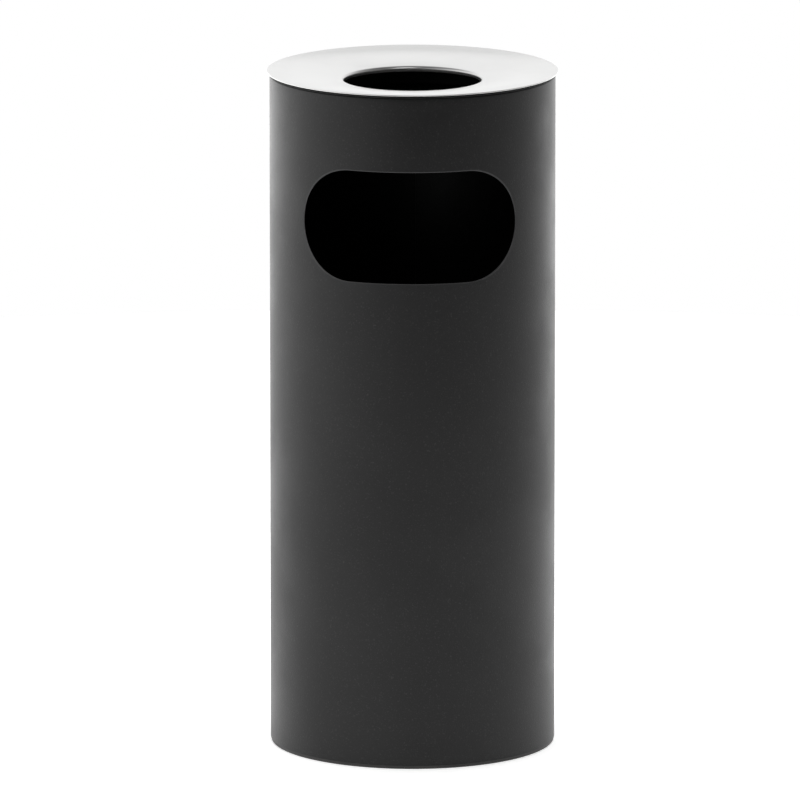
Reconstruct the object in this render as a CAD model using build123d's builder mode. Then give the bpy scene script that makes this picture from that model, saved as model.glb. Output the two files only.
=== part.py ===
from build123d import *

import os
from math import asin, atan, cos, degrees, pi, radians, sin, tan

# Ashtray bin: a rolled sheet-steel drum with a litter slot and a lift-out liner, and on top of it an ash
# pan with a perforated grid under a dished steel lid. Millimetres, +Z up, origin on the floor at the
# drum's axis. The litter slot faces -Y. Every round piece is concentric with the Z axis.

# ---------------------------------------------------------------- overall
total_height = 610.0  # floor to the lid's outer edge
body_diameter = 255.0  # outside of the drum
seat_gap = 0.3  # between curved faces that rest on one another
weld_gap = 0.05  # between faces that are welded or crimped together

# ---------------------------------------------------------------- drum
shell_sheet = 1.0
shell_rim_width = 5.0  # in-turned rim that carries the ash pan
shell_rim_bend = 1.8
seam_step = 0.8  # lap seam down the back
seam_blend = 14.0  # degrees over which the upper sheet settles back to the drum's round
seam_margin = 4.0  # plain drum above and below the lap

slot_height = 100.0  # litter slot, round-ended
slot_width = 210.0  # measured round the drum
slot_below_top = 120.0  # slot's middle below the lid's edge

# ---------------------------------------------------------------- floor end
foot_height = 3.0
foot_inset = 0.5
foot_lip_width = 7.0
foot_grip_height = 10.0
foot_grip_wall = 2.0
foot_play = 0.1

base_sheet = 1.0
base_flange_height = 14.0
base_bend = 2.5
plateau_rise = 3.0
plateau_bend = 1.5
plateau_play = 1.0  # plateau to the liner's crimped foot
drain_count = 4
drain_diameter = 8.0
drain_inset = 35.0  # drain holes' circle inside the plateau's edge

# ---------------------------------------------------------------- liner
liner_play = 2.1  # liner's rim to the drum's mouth, as it is lifted out
liner_below_slot = 66.5  # liner's rim below the slot's lower edge
liner_sheet = 0.8
rim_wire_diameter = 4.0
rim_curl_open = (188.0, 230.0)  # degrees of the curl that stay open
chime_height = 6.0  # crimped foot of the liner
liner_floor_lift = 5.0
lock_seam_width = 7.0
lock_seam_step = 0.9
lock_seam_margin = 4.0

# ---------------------------------------------------------------- bail handle and its ears
bail_wire_diameter = 4.0
bail_inset = 0.25  # bail's ring inside the middle of the liner's rim
bail_end_reach = 4.0
bail_head_diameter = 6.4
bail_head_length = 1.6
ear_sheet = 2.0
ear_width = 22.0
ear_top_radius = 7.0
ear_below_pivot = 44.0
ear_shoulder_drop = 10.0
ear_corner = 4.0
ear_hole_play = 0.3
rivet_drops = {"upper": 20.0, "lower": 36.0}  # below the bail's pivot
rivet_diameter = 3.9
rivet_play = 0.05
rivet_head_diameter = 8.0
rivet_head_height = 1.6
rivet_seat = 0.1

# ---------------------------------------------------------------- ash pan
pan_sheet = 0.8
pan_overhang = 0.9  # pan's flange past the drum
pan_play = 0.4  # pan's mouth bend to the drum's rim
pan_depth = 50.0
pan_wall_taper = 4.7
pan_ledge_width = 10.0
pan_ledge_height = 18.8
pan_well_taper = 3.0
pan_mouth_bend = 2.5
pan_shoulder_bend = 4.0
pan_ledge_bend = 2.5
pan_floor_bend = 9.0

# ---------------------------------------------------------------- grid and its knob
grid_play = 0.5
grid_sheet = 1.5
grid_hole_diameter = 9.0
grid_hole_pitch = 16.0
grid_first_ring = 24.0
grid_margin = 10.0
knob_diameter = 18.0
knob_height = 12.0
knob_stem_diameter = 10.0
knob_stem_height = 4.0
knob_round = 3.0
knob_bore_depth = 8.0
screw_diameter = 4.0
screw_play = 0.05
screw_hole_play = 0.2
screw_end_gap = 0.6
screw_head_diameter = 7.2
screw_head_height = 2.2
screw_head_round = 0.7

# ---------------------------------------------------------------- lid
lid_overhang = 2.5  # lid past the drum, all round
lid_sheet = 1.0
lid_edge_round = 0.3
hole_diameter = 123.0
dish_drop = 8.0  # lid's edge down to the hole
hole_bend = 2.5
collar_depth = 4.5  # down-turned edge of the hole
tab_count = 3
tab_angle = 9.0
tab_sheet = 1.0
tab_foot = 13.0
tab_length = 12.0
tab_play = 0.8

# ---------------------------------------------------------------- worked out: lid and drum
body_radius = body_diameter / 2
shell_inner_radius = body_radius - shell_sheet
shell_mouth_radius = body_radius - shell_rim_width
hole_radius = hole_diameter / 2
dish_slope = atan(dish_drop / (body_radius + lid_overhang - hole_radius))
lid_edge_radius = body_radius + lid_overhang - lid_sheet * sin(dish_slope)


def lid_top(radius):
    """Height of the dish's upper face."""
    return total_height - (lid_edge_radius - radius) * tan(dish_slope)


def lid_underside(radius):
    """Height of the dish's lower face."""
    return lid_top(radius) - lid_sheet / cos(dish_slope)


pan_mouth_radius = shell_mouth_radius - pan_play - pan_mouth_bend
rim_top = lid_underside(pan_mouth_radius + pan_mouth_bend) - seat_gap - pan_sheet
slot_middle = total_height - slot_below_top

# ---------------------------------------------------------------- worked out: floor end and liner
base_top = foot_height + base_flange_height
base_outer_radius = shell_inner_radius - weld_gap
base_inner_radius = base_outer_radius - base_sheet

curl_inner = rim_wire_diameter / 2 + weld_gap
curl_outer = curl_inner + liner_sheet
curl_radius = shell_mouth_radius - liner_play - curl_outer
liner_inner_radius = curl_radius - curl_outer
liner_radius = liner_inner_radius + liner_sheet
liner_top = slot_middle - slot_height / 2 - liner_below_slot
curl_height = liner_top - curl_outer
chime_inner_radius = liner_inner_radius - weld_gap - liner_sheet
chime_outer_radius = liner_radius + weld_gap + liner_sheet
plateau_foot_radius = chime_inner_radius - plateau_play
plateau_radius = plateau_foot_radius - plateau_rise

pivot_height = liner_top + bail_wire_diameter / 2 + seat_gap
bail_radius = curl_radius - bail_inset
ear_outer_radius = liner_inner_radius - weld_gap
ear_inner_radius = ear_outer_radius - ear_sheet
bail_end_radius = ear_inner_radius - bail_end_reach
bail_corner = bail_radius - ear_outer_radius  # the wire turns as soon as it is through the ear

# ---------------------------------------------------------------- worked out: ash pan, grid and tabs
pan_bottom = rim_top - pan_depth
pan_ledge_radius = pan_mouth_radius - pan_wall_taper
pan_well_radius = pan_ledge_radius - pan_ledge_width
ledge_top = pan_bottom + pan_ledge_height
grid_radius = pan_ledge_radius - pan_shoulder_bend - grid_play
knob_foot = ledge_top + grid_sheet

tab_bottom = lid_underside(pan_mouth_radius) - tab_length
taper_at_tab = pan_wall_taper * (rim_top - tab_bottom) / (rim_top - ledge_top)
tab_radius = pan_mouth_radius - taper_at_tab - pan_sheet - tab_play


def polar(radius, angle):
    """A point on a circle round the origin, with the angle in degrees."""
    return (radius * cos(radians(angle)), radius * sin(radians(angle)))


os.makedirs("parts", exist_ok=True)

# ---------------------------------------------------------------- drum
slot_end_half_angle = degrees(asin(slot_height / body_diameter))
slot_end_angle = degrees(slot_width / body_diameter) - slot_end_half_angle

with BuildPart() as outer_shell:
    with BuildSketch(Plane.XZ):
        with BuildLine():
            FilletPolyline(
                (body_radius, foot_height),
                (body_radius, rim_top),
                (shell_mouth_radius, rim_top),
                radius=shell_rim_bend,
            )
            offset(amount=shell_sheet, side=Side.LEFT)
        make_face()
    revolve(axis=Axis.Z)
    # lap seam: one edge stands proud and settles back to the round
    with BuildSketch(Plane.XY.offset(foot_height + seam_margin)):
        with BuildLine():
            lap_edge = polar(body_radius + seam_step, 90)
            lap_middle = polar(body_radius + seam_step / 2, 90 + seam_blend / 2)
            lap_end = polar(body_radius, 90 + seam_blend)
            inner_middle = polar(body_radius - shell_sheet / 2, 90 + seam_blend / 2)
            Line(polar(body_radius - shell_sheet / 2, 90), lap_edge)
            ThreePointArc(lap_edge, lap_middle, lap_end)
            Line(lap_end, polar(body_radius - shell_sheet / 2, 90 + seam_blend))
            ThreePointArc(
                polar(body_radius - shell_sheet / 2, 90 + seam_blend),
                inner_middle,
                polar(body_radius - shell_sheet / 2, 90),
            )
        make_face()
    extrude(amount=rim_top - shell_rim_bend - foot_height - 2 * seam_margin)
    # litter slot: a straight middle and two round ends, cut square to the sheet
    with BuildSketch(Plane.XY.offset(slot_middle - slot_height / 2)):
        with BuildLine():
            Polyline(
                (0, 0),
                polar(body_diameter, -90 - slot_end_angle),
                polar(body_diameter, -90 + slot_end_angle),
                close=True,
            )
        make_face()
    extrude(amount=slot_height, mode=Mode.SUBTRACT)
    for end_angle in (-90 - slot_end_angle, -90 + slot_end_angle):
        with BuildSketch(Plane(origin=(0, 0, slot_middle), z_dir=(*polar(1, end_angle), 0))):
            Circle(slot_height / 2)
        extrude(amount=body_diameter, mode=Mode.SUBTRACT)
outer_shell.part.label = "outer_shell"
export_step(outer_shell.part, "parts/outer_shell.step")

# ---------------------------------------------------------------- base plate
with BuildPart() as base_plate:
    with BuildSketch(Plane.XZ):
        with BuildLine():
            FilletPolyline(
                (base_outer_radius, foot_height),
                (base_outer_radius, base_top),
                (plateau_foot_radius, base_top),
                (plateau_radius, base_top + plateau_rise),
                (0, base_top + plateau_rise),
                radius=[base_bend, plateau_bend, plateau_bend],
            )
            offset(amount=base_sheet, side=Side.LEFT)
        make_face()
    revolve(axis=Axis.Z)
    with Locations((0, 0, base_top + plateau_rise)):
        with PolarLocations(plateau_radius - drain_inset, drain_count, start_angle=45):
            Hole(drain_diameter / 2, depth=2 * base_sheet)
base_plate.part.label = "base_plate"
export_step(base_plate.part, "parts/base_plate.step")

# ---------------------------------------------------------------- foot ring
with BuildPart() as foot_ring:
    with BuildSketch(Plane.XZ):
        with Locations((body_radius - foot_inset - foot_lip_width, 0)):
            Rectangle(foot_lip_width, foot_height, align=Align.MIN)
        with Locations((base_inner_radius - foot_play - foot_grip_wall, 0)):
            Rectangle(foot_grip_wall, foot_height + foot_grip_height, align=Align.MIN)
    revolve(axis=Axis.Z)
    floor_edges = foot_ring.edges().group_by(Axis.Z)[0]
    fillet(floor_edges.sort_by(SortBy.RADIUS)[-1], foot_height / 3)
foot_ring.part.label = "foot_ring"
export_step(foot_ring.part, "parts/foot_ring.step")

# ---------------------------------------------------------------- liner wall, rolled over the rim wire
wall_bottom = base_top + liner_sheet + weld_gap
lock_seam_bottom = base_top + chime_height + lock_seam_margin
lock_seam_top = curl_height - curl_outer - lock_seam_margin
lock_seam_half = degrees(lock_seam_width / 2 / liner_radius)

with BuildPart() as liner_wall:
    with BuildSketch(Plane.XZ):
        with Locations((curl_radius, curl_height)):
            Circle(curl_outer)
            Circle(curl_inner, mode=Mode.SUBTRACT)
            with BuildLine():
                Polyline(
                    (0, 0),
                    polar(2 * curl_outer, rim_curl_open[0]),
                    polar(2 * curl_outer, rim_curl_open[1]),
                    close=True,
                )
            make_face(mode=Mode.SUBTRACT)
        with Locations((liner_inner_radius, wall_bottom)):
            Rectangle(liner_sheet, curl_height - wall_bottom, align=Align.MIN)
    revolve(axis=Axis.Z)
    with BuildSketch(Plane.XY.offset(lock_seam_bottom)):
        Circle(liner_radius + lock_seam_step)
        Circle(liner_radius - liner_sheet / 2, mode=Mode.SUBTRACT)
        with BuildLine():
            Polyline(
                (0, 0),
                polar(2 * liner_radius, 90 - lock_seam_half),
                polar(2 * liner_radius, 90 + lock_seam_half),
                close=True,
            )
        make_face(mode=Mode.INTERSECT)
    extrude(amount=lock_seam_top - lock_seam_bottom)
    for side in (-1, 1):
        for drop in rivet_drops.values():
            with BuildSketch(Plane(origin=(0, 0, pivot_height - drop), z_dir=(side, 0, 0))):
                Circle(rivet_diameter / 2 + rivet_play)
            extrude(amount=body_radius, mode=Mode.SUBTRACT)
liner_wall.part.label = "liner_wall"
export_step(liner_wall.part, "parts/liner_wall.step")

# ---------------------------------------------------------------- liner bottom, crimped round the wall
with BuildPart() as liner_bottom:
    with BuildSketch(Plane.XZ):
        with Locations((0, base_top + liner_floor_lift)):
            Rectangle(chime_inner_radius + liner_sheet, liner_sheet, align=Align.MIN)
        with Locations((chime_inner_radius, base_top)):
            Rectangle(liner_sheet, liner_floor_lift + liner_sheet, align=Align.MIN)
            Rectangle(chime_outer_radius - chime_inner_radius, liner_sheet, align=Align.MIN)
        with Locations((chime_outer_radius - liner_sheet, base_top)):
            Rectangle(liner_sheet, chime_height, align=Align.MIN)
    revolve(axis=Axis.Z)
liner_bottom.part.label = "liner_bottom"
export_step(liner_bottom.part, "parts/liner_bottom.step")

# ---------------------------------------------------------------- wire inside the liner's rim
with BuildPart() as liner_rim_wire:
    with BuildSketch(Plane.XZ):
        with Locations((curl_radius, curl_height)):
            Circle(rim_wire_diameter / 2)
    revolve(axis=Axis.Z)
liner_rim_wire.part.label = "liner_rim_wire"
export_step(liner_rim_wire.part, "parts/liner_rim_wire.step")

# ---------------------------------------------------------------- ears that carry the bail
for side, side_name in ((-1, "left"), (1, "right")):
    ear_plane = Plane(origin=(0, 0, pivot_height), x_dir=(0, side, 0), z_dir=(side, 0, 0))
    with BuildPart() as bail_ear:
        with BuildSketch(Plane.XY.offset(pivot_height - ear_below_pivot)):
            Circle(ear_outer_radius)
            Circle(ear_inner_radius, mode=Mode.SUBTRACT)
        extrude(amount=ear_below_pivot + ear_top_radius)
        with BuildSketch(ear_plane) as ear_outline:
            with BuildLine():
                Polyline(
                    (-ear_top_radius, 0),
                    (-ear_width / 2, -ear_shoulder_drop),
                    (-ear_width / 2, -ear_below_pivot),
                    (ear_width / 2, -ear_below_pivot),
                    (ear_width / 2, -ear_shoulder_drop),
                    (ear_top_radius, 0),
                    close=True,
                )
            make_face()
            Circle(ear_top_radius)
            fillet(ear_outline.vertices().group_by(Axis.Y)[0], ear_corner)
        extrude(amount=body_radius, mode=Mode.INTERSECT)
        with BuildSketch(ear_plane):
            Circle(bail_wire_diameter / 2 + ear_hole_play)
            with Locations(*[(0, -drop) for drop in rivet_drops.values()]):
                Circle(rivet_diameter / 2 + rivet_play)
        extrude(amount=body_radius, mode=Mode.SUBTRACT)
    bail_ear.part.label = f"bail_ear_{side_name}"
    export_step(bail_ear.part, f"parts/bail_ear_{side_name}.step")

    # ------------------------------------------------------------ the ear's two rivets
    for level, drop in rivet_drops.items():
        rivet_plane = Plane(
            origin=(0, 0, pivot_height - drop), x_dir=(side, 0, 0), z_dir=(0, -side, 0)
        )
        inner_face = ear_inner_radius - rivet_seat
        head_radius = rivet_head_diameter / 2
        with BuildPart() as ear_rivet:
            with BuildSketch(rivet_plane):
                with BuildLine():
                    outer_end = (liner_radius + rivet_head_height, 0)
                    inner_end = (inner_face - rivet_head_height, 0)
                    TangentArc(outer_end, (liner_radius, head_radius), tangent=(0, 1))
                    Polyline(
                        (liner_radius, head_radius),
                        (liner_radius, rivet_diameter / 2),
                        (inner_face, rivet_diameter / 2),
                        (inner_face, head_radius),
                    )
                    TangentArc(inner_end, (inner_face, head_radius), tangent=(0, 1))
                    Line(inner_end, outer_end)
                make_face()
            revolve(axis=Axis((0, 0, pivot_height - drop), (1, 0, 0)))
        ear_rivet.part.label = f"ear_rivet_{side_name}_{level}"
        export_step(ear_rivet.part, f"parts/ear_rivet_{side_name}_{level}.step")

# ---------------------------------------------------------------- bail handle
with BuildPart() as bail_handle:
    with BuildLine(Plane.XY.offset(pivot_height)) as bail_route:
        Line((bail_end_radius, 0), (bail_radius, 0))
        ThreePointArc((bail_radius, 0), (0, bail_radius), (-bail_radius, 0))
        Line((-bail_radius, 0), (-bail_end_radius, 0))
        route_corners = bail_route.vertices().filter_by_position(Axis.Y, -weld_gap, weld_gap)
        fillet(route_corners.filter_by(lambda corner: abs(corner.X) > ear_outer_radius), bail_corner)
    with BuildSketch(Plane(origin=bail_route.line @ 0, z_dir=bail_route.line % 0)):
        Circle(bail_wire_diameter / 2)
    sweep(path=bail_route.line)
    for side in (-1, 1):
        wire_end = (side * bail_end_radius, 0, pivot_height)
        with BuildSketch(Plane(origin=wire_end, z_dir=(side, 0, 0))):
            Circle(bail_head_diameter / 2)
        extrude(amount=bail_head_length)
bail_handle.part.label = "bail_handle"
export_step(bail_handle.part, "parts/bail_handle.step")

# ---------------------------------------------------------------- ash pan
with BuildPart() as ash_pan:
    with BuildSketch(Plane.XZ):
        with BuildLine():
            FilletPolyline(
                (0, pan_bottom),
                (pan_well_radius - pan_well_taper, pan_bottom),
                (pan_well_radius, ledge_top - pan_sheet),
                (pan_ledge_radius, ledge_top - pan_sheet),
                (pan_mouth_radius, rim_top),
                (body_radius + pan_overhang, rim_top),
                radius=[pan_floor_bend, pan_ledge_bend, pan_shoulder_bend, pan_mouth_bend],
            )
            offset(amount=pan_sheet, side=Side.LEFT)
        make_face()
    revolve(axis=Axis.Z)
ash_pan.part.label = "ash_pan"
export_step(ash_pan.part, "parts/ash_pan.step")

# ---------------------------------------------------------------- perforated grid on the pan's ledge
ring_count = int((grid_radius - grid_margin - grid_first_ring) // grid_hole_pitch) + 1

with BuildPart() as stub_grid:
    with BuildSketch(Plane.XY.offset(ledge_top)):
        Circle(grid_radius)
        Circle(screw_diameter / 2 + screw_hole_play, mode=Mode.SUBTRACT)
        for ring in range(ring_count):
            ring_radius = grid_first_ring + ring * grid_hole_pitch
            with PolarLocations(ring_radius, int(2 * pi * ring_radius // grid_hole_pitch)):
                Circle(grid_hole_diameter / 2, mode=Mode.SUBTRACT)
    extrude(amount=grid_sheet)
stub_grid.part.label = "stub_grid"
export_step(stub_grid.part, "parts/stub_grid.step")

# ---------------------------------------------------------------- knob that lifts the grid
with BuildPart() as grid_knob:
    with BuildSketch(Plane.XY.offset(knob_foot)):
        Circle(knob_stem_diameter / 2)
    extrude(amount=knob_stem_height)
    with BuildSketch(Plane.XY.offset(knob_foot + knob_stem_height)):
        Circle(knob_diameter / 2)
    extrude(amount=knob_height - knob_stem_height)
    fillet(grid_knob.edges().group_by(Axis.Z)[-1], knob_round)
    with BuildSketch(Plane.XY.offset(knob_foot)):
        Circle(screw_diameter / 2 + screw_play)
    extrude(amount=knob_bore_depth, mode=Mode.SUBTRACT)
grid_knob.part.label = "grid_knob"
export_step(grid_knob.part, "parts/grid_knob.step")

with BuildPart() as grid_knob_screw:
    with BuildSketch(Plane.XY.offset(ledge_top)):
        Circle(screw_head_diameter / 2)
    extrude(amount=-screw_head_height)
    fillet(grid_knob_screw.edges().group_by(Axis.Z)[0], screw_head_round)
    with BuildSketch(Plane.XY.offset(ledge_top)):
        Circle(screw_diameter / 2)
    extrude(amount=grid_sheet + knob_bore_depth - screw_end_gap)
grid_knob_screw.part.label = "grid_knob_screw"
export_step(grid_knob_screw.part, "parts/grid_knob_screw.step")

# ---------------------------------------------------------------- lid
with BuildPart() as lid_dish:
    with BuildSketch(Plane.XZ):
        with BuildLine():
            FilletPolyline(
                (lid_edge_radius, total_height),
                (hole_radius, lid_top(hole_radius)),
                (hole_radius, lid_top(hole_radius) - collar_depth),
                radius=hole_bend,
            )
            offset(amount=lid_sheet, side=Side.LEFT)
        make_face()
    revolve(axis=Axis.Z)
    fillet(lid_dish.edges().group_by(Axis.Z)[-1], lid_edge_round)
lid_dish.part.label = "lid_dish"
export_step(lid_dish.part, "parts/lid_dish.step")

# ---------------------------------------------------------------- tabs that centre the lid in the pan
tab_inner_radius = tab_radius - tab_sheet
tab_foot_radius = tab_radius - tab_foot

for number in range(tab_count):
    tab_middle = 90 + number * 360 / tab_count
    with BuildPart() as lid_tab:
        with BuildSketch(Plane.XZ.rotated((0, 0, tab_middle - tab_angle / 2))):
            with BuildLine():
                Polyline(
                    (tab_radius, lid_underside(tab_radius)),
                    (tab_foot_radius, lid_underside(tab_foot_radius)),
                    (tab_foot_radius, lid_underside(tab_foot_radius) - tab_sheet),
                    (tab_inner_radius, lid_underside(tab_inner_radius) - tab_sheet),
                    (tab_inner_radius, tab_bottom),
                    (tab_radius, tab_bottom),
                    close=True,
                )
            make_face()
        revolve(axis=Axis.Z, revolution_arc=tab_angle)
    lid_tab.part.label = f"lid_tab_{number + 1}"
    export_step(lid_tab.part, f"parts/lid_tab_{number + 1}.step")
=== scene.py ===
from math import atan2, cos, hypot, pi, radians, sin, tan

import bmesh
import bpy
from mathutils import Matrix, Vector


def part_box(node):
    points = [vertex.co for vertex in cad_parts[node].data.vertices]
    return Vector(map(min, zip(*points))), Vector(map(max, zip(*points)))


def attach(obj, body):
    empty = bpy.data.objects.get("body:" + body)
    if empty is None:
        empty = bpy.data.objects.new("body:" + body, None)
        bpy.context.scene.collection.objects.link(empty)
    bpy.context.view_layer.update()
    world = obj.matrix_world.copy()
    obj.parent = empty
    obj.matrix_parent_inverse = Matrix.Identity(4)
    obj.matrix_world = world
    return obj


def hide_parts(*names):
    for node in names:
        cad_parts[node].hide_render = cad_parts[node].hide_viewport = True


# Ashtray bin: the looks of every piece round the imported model. Metres, +Z up, origin on the floor at
# the drum's axis, litter slot towards -Y. Round pieces are drawn as half sections, in (radius, height).

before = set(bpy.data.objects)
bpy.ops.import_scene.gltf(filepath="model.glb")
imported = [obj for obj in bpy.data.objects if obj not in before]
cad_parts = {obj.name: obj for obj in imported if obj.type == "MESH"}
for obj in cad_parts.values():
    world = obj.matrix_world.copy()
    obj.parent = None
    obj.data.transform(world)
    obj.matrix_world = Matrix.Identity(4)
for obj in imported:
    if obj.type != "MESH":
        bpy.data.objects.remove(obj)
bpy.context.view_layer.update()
mm = 0.001

# ---------------------------------------------------------------- sizes read from the frame
shell_low, shell_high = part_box("outer_shell")
base_low, base_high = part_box("base_plate")
foot_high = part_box("foot_ring")[1]
liner_low, liner_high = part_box("liner_wall")
bottom_low, bottom_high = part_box("liner_bottom")
bail_low, bail_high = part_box("bail_handle")
pan_low, pan_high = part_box("ash_pan")
grid_low, grid_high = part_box("stub_grid")
knob_low, knob_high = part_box("grid_knob")
screw_low, screw_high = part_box("grid_knob_screw")
lid_low, lid_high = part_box("lid_dish")

# ---------------------------------------------------------------- gauges and details of the sheet work
round_segments = 384  # round pieces that show
inner_segments = 256  # round pieces inside the drum
bend_step = radians(11)  # turn from one ring to the next round a bend

shell_sheet = 1.0 * mm
shell_bend = 1.8 * mm
shell_mouth = shell_high.x - 5.0 * mm
seam_step = 0.8 * mm
seam_margin = 4.0 * mm
seam_angle = 90.0
seam_blend = 14.0  # degrees over which the lapped sheet settles back
slot_height = 100.0 * mm
slot_width = 210.0 * mm  # round the drum
slot_below_top = 120.0 * mm
cut_edge = 0.22 * mm  # rounding that the coat leaves on a cut edge

lid_sheet = 1.0 * mm
lid_drop = 8.0 * mm
lid_hole = 61.5 * mm
lid_bend = 2.5 * mm
body_radius = shell_high.x
slot_middle = lid_high.z - slot_below_top
slot_straight = slot_width / 2 - slot_height / 2  # half the straight middle, round the drum

base_sheet = 1.0 * mm
plateau_rise = 3.0 * mm
plateau_radius = 109.85 * mm
drain_radius = 4.0 * mm
drain_circle = plateau_radius - 35.0 * mm

foot_height = shell_low.z
foot_lip_width = 7.0 * mm
foot_grip_wall = 2.0 * mm
foot_grip_radius = base_high.x - base_sheet - 0.1 * mm

liner_sheet = 0.8 * mm
rim_wire_radius = 2.0 * mm
curl_outer = 2.85 * mm
curl_radius = liner_high.x - curl_outer
curl_height = liner_high.z - curl_outer
liner_inner = curl_radius - curl_outer
chime_height = 6.0 * mm
lock_seam_step = 0.9 * mm
lock_seam_margin = 4.0 * mm

bail_wire = 2.0 * mm
bail_radius = bail_high.y - bail_wire
bail_corner = bail_radius - liner_inner + 0.05 * mm
bail_head_radius = 3.2 * mm
bail_head_length = 1.6 * mm
spin_way = -1  # the spin tool's positive turns run clockwise here, seen from above

pan_sheet = 0.8 * mm
pan_rim = pan_high.z - pan_sheet
pan_mouth = shell_mouth - 2.9 * mm
pan_ledge = pan_mouth - 4.7 * mm
pan_well = pan_ledge - 10.0 * mm
pan_well_taper = 3.0 * mm

grid_hole_radius = 4.5 * mm
grid_first_ring = 24.0 * mm
grid_pitch = 16.0 * mm
grid_rings = 5

flat_centre = 60.0 * mm  # radius of the one flat face in the middle of a pressed disc
pressed_edge = 0.2 * mm  # rounding of a pressed or punched edge


# ---------------------------------------------------------------- drawing half sections
def rounded(corners, bends):
    """A path through corners, each inner one turned with its bend radius."""
    path = [corners[0]]
    for before, corner, after, bend in zip(corners, corners[1:], corners[2:], bends):
        into = (corner[0] - before[0], corner[1] - before[1])
        out = (after[0] - corner[0], after[1] - corner[1])
        heading = atan2(into[1], into[0])
        turn = (atan2(out[1], out[0]) - heading + pi) % (2 * pi) - pi
        setback = bend * tan(abs(turn) / 2)
        side = 1 if turn > 0 else -1
        start = (corner[0] - setback * cos(heading), corner[1] - setback * sin(heading))
        centre = (start[0] - side * bend * sin(heading), start[1] + side * bend * cos(heading))
        steps = max(2, round(abs(turn) / bend_step))
        for step in range(steps + 1):
            angle = heading - side * pi / 2 + turn * step / steps
            path.append((centre[0] + bend * cos(angle), centre[1] + bend * sin(angle)))
    path.append(corners[-1])
    return path


def arc(centre, radius, start, end):
    """Points on an arc, its angles in degrees."""
    turn = radians(end - start)
    steps = max(2, round(abs(turn) / bend_step))
    angles = [radians(start) + turn * step / steps for step in range(steps + 1)]
    return [(centre[0] + radius * cos(a), centre[1] + radius * sin(a)) for a in angles]


def climb(radius, low, high, count):
    """Rings up a plain wall, evenly spaced, without its two ends."""
    return [(radius, low + (high - low) * step / count) for step in range(1, count)]


# ---------------------------------------------------------------- hand tools
def begin_edit():
    bpy.ops.object.mode_set(mode="EDIT")
    bpy.ops.mesh.select_mode(type="EDGE")


def end_edit():
    bpy.ops.object.mode_set(mode="OBJECT")


def only(piece):
    """Makes one piece the active and only selected one."""
    bpy.ops.object.select_all(action="DESELECT")
    piece.select_set(True)
    bpy.context.view_layer.objects.active = piece


def pick_edges(piece, wanted):
    """In edit mode, selects the edges that wanted(edge) says."""
    bpy.ops.mesh.select_mode(type="EDGE")
    bpy.ops.mesh.select_all(action="DESELECT")
    mesh = bmesh.from_edit_mesh(piece.data)
    for edge in mesh.edges:
        if wanted(edge):
            edge.select_set(True)
    bmesh.update_edit_mesh(piece.data)


def pick_vertices(piece, wanted):
    """In edit mode, selects the vertices whose place wanted(place) says."""
    bpy.ops.mesh.select_mode(type="VERT")
    bpy.ops.mesh.select_all(action="DESELECT")
    mesh = bmesh.from_edit_mesh(piece.data)
    for vertex in mesh.verts:
        if wanted(vertex.co):
            vertex.select_set(True)
    mesh.select_flush_mode()
    bmesh.update_edit_mesh(piece.data)


def turned(name, section, segments, filled=False, capped=False, closed=False):
    """A ring is added at the section's first point, then extruded and resized to each next point.
    An open skin's faces look to the left of the way the section is drawn."""
    bpy.ops.object.select_all(action="DESELECT")
    bpy.ops.mesh.primitive_circle_add(
        vertices=segments,
        radius=section[0][0],
        location=(0, 0, section[0][1]),
        fill_type="NGON" if filled else "NOTHING",
    )
    piece = bpy.context.object
    piece.name = name
    bpy.ops.object.transform_apply(location=True, rotation=True, scale=True)
    begin_edit()
    bpy.ops.mesh.select_all(action="SELECT")
    if filled:
        pick_edges(piece, lambda edge: edge.is_boundary)
    for here, there in zip(section, section[1:]):
        bpy.ops.mesh.extrude_edges_move(TRANSFORM_OT_translate={"value": (0, 0, there[1] - here[1])})
        wider = there[0] / here[0]
        bpy.ops.transform.resize(value=(wider, wider, 1), center_override=(0, 0, there[1]))
    if capped:
        bpy.ops.mesh.edge_face_add()
    if closed:
        pick_edges(piece, lambda edge: edge.is_boundary)
        bpy.ops.mesh.bridge_edge_loops()
    bpy.ops.mesh.select_all(action="SELECT")
    if closed or (filled and capped):
        bpy.ops.mesh.normals_make_consistent(inside=False)
    else:
        face = max(bmesh.from_edit_mesh(piece.data).faces, key=lambda face: face.index)
        middle = face.calc_center_median()
        run = (section[-1][0] - section[-2][0], section[-1][1] - section[-2][1])
        outward = (face.normal.x * middle.x + face.normal.y * middle.y) / hypot(middle.x, middle.y)
        if face.normal.z * run[0] - outward * run[1] < 0:
            bpy.ops.mesh.flip_normals()
    end_edit()
    return piece


def apply_modifier(piece, modifier):
    only(piece)
    bpy.ops.object.modifier_apply(modifier=modifier.name)


def thicken(piece, sheet, side):
    """Gives a skin the thickness of its sheet, to the left or the right of the drawn section."""
    solidify = piece.modifiers.new("sheet", "SOLIDIFY")
    solidify.thickness = sheet
    solidify.offset = 1 if side == "left" else -1
    solidify.use_even_offset = True
    solidify.use_quality_normals = True
    apply_modifier(piece, solidify)
    return piece


def cut_away(piece, cutter):
    """Cuts one closed shape out of another and throws the cutter away."""
    boolean = piece.modifiers.new("cut", "BOOLEAN")
    boolean.operation = "DIFFERENCE"
    boolean.solver = "EXACT"
    boolean.object = cutter
    apply_modifier(piece, boolean)
    bpy.data.objects.remove(cutter)
    return piece


def ease_edges(piece, width, sharper_than=50, where=lambda middle: True, segments=2):
    """Rounds the sharp edges of a piece a little, as coating, tumbling or moulding leaves them."""
    only(piece)
    begin_edit()
    limit = radians(sharper_than)

    def sharp(edge):
        middle = (edge.verts[0].co + edge.verts[1].co) / 2
        return edge.is_manifold and edge.calc_face_angle() > limit and where(middle)

    pick_edges(piece, sharp)
    bpy.ops.mesh.bevel(offset=width, segments=segments, affect="EDGES", clamp_overlap=False)
    end_edit()
    return piece


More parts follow.
